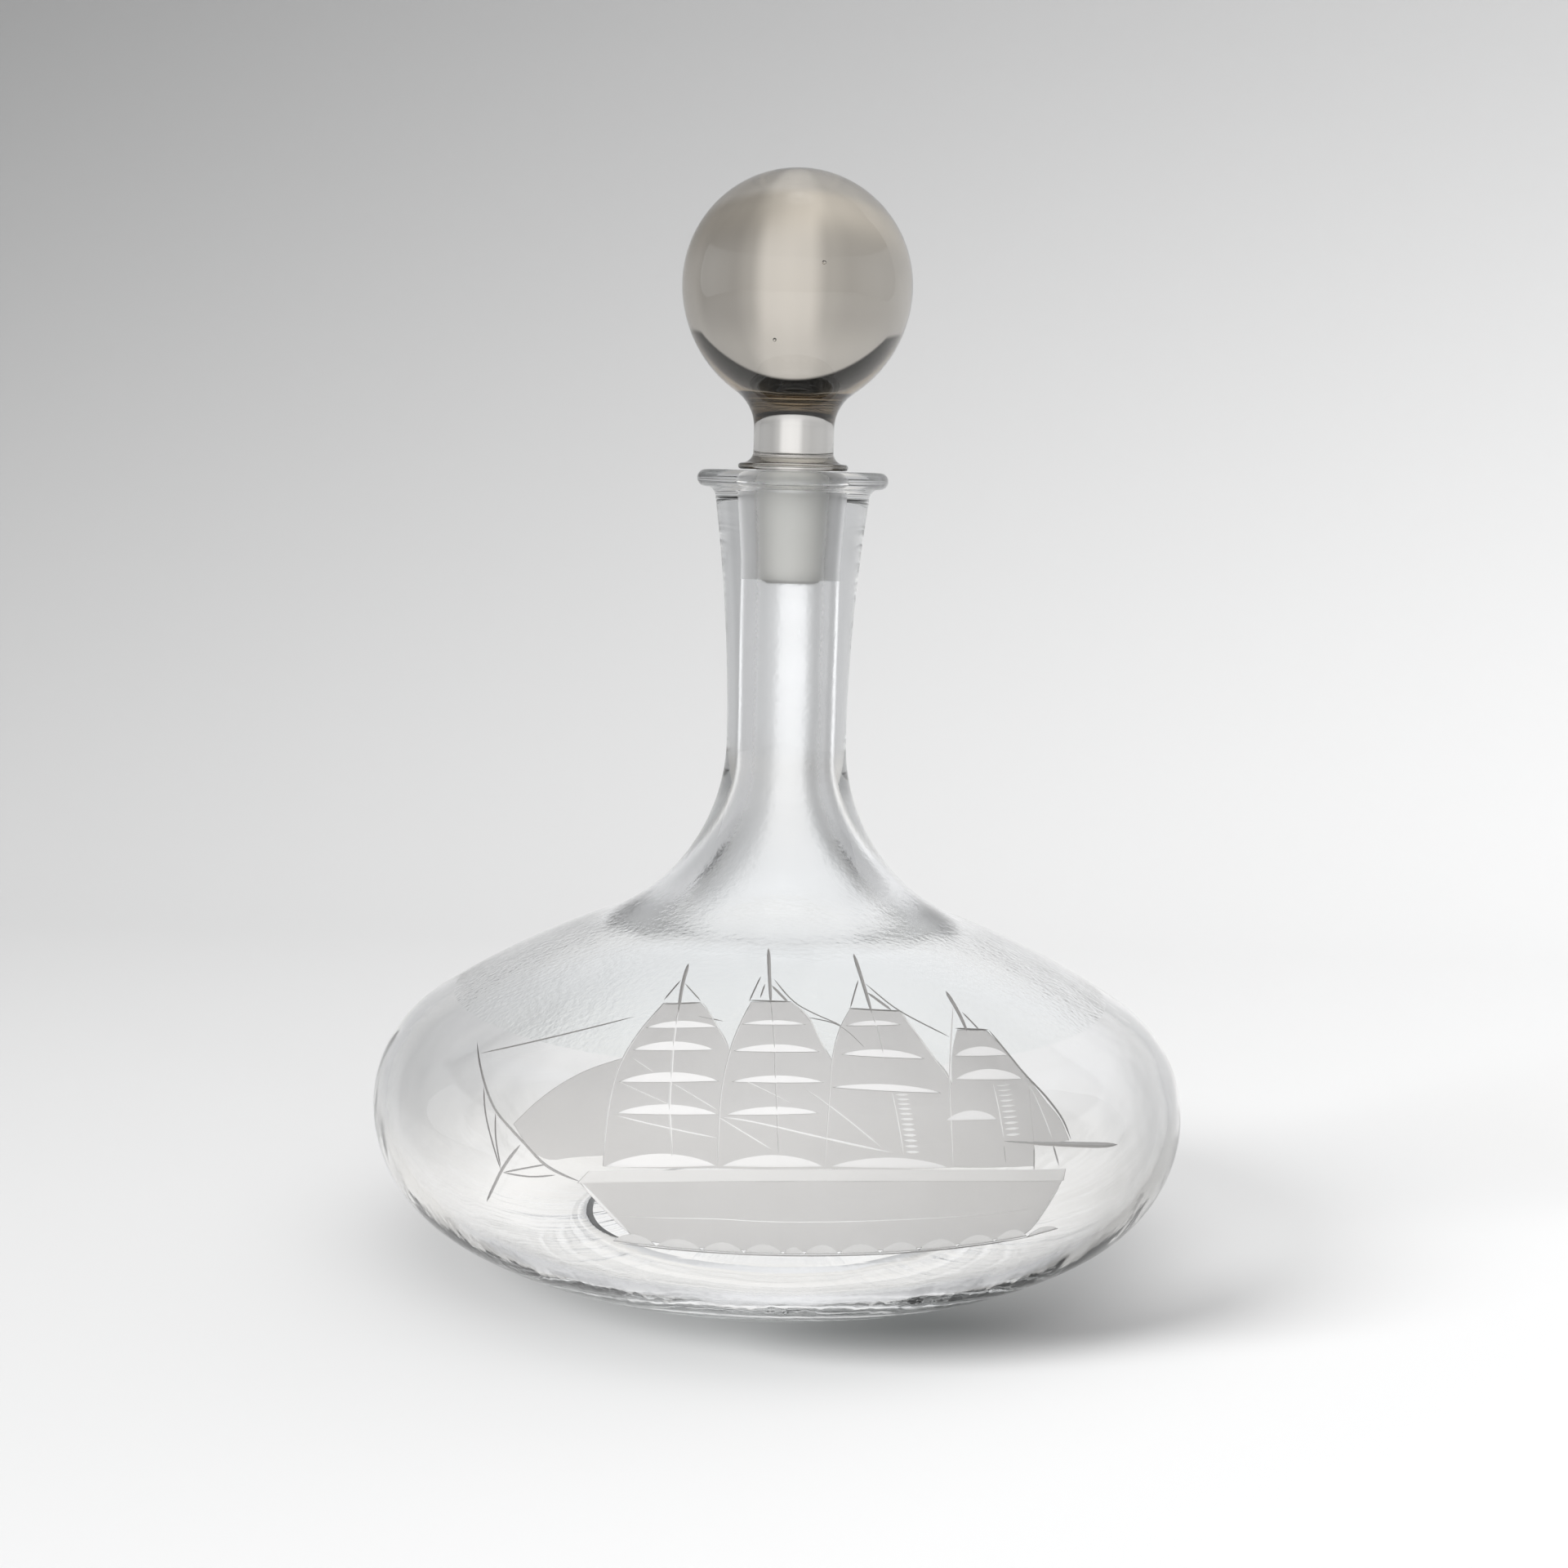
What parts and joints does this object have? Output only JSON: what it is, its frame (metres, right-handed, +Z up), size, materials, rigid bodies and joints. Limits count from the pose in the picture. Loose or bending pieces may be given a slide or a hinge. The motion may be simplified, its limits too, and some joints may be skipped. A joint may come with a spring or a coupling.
{
  "type": "decanter",
  "caption": "Wide, low-bowled clear glass decanter with a long flared neck, a rounded lip and a solid ball stopper whose ground peg lifts straight out of the neck.",
  "frame": {"origin": "on the table, at the centre of the standing ring", "axes": "+Z up along the axis of the bowl and neck, -Y toward the engraved front, +X toward the stern of the engraved ship"},
  "size_m": [0.203, 0.203, 0.2684],
  "materials": {
    "decanter_glass": "clear polished glass with a ship engraved on the front",
    "stopper_glass": "clear polished ball, ground peg"
  },
  "bodies": {
    "decanter": {"decanter_body": "decanter_glass"},
    "stopper": {"ball_stopper": "stopper_glass"}
  },
  "joints": [
    {"name": "stopper_lift", "type": "slide", "parent": "decanter", "child": "stopper", "axis": [0, 0, 1], "range_m": [0, 0.04]}
  ]
}
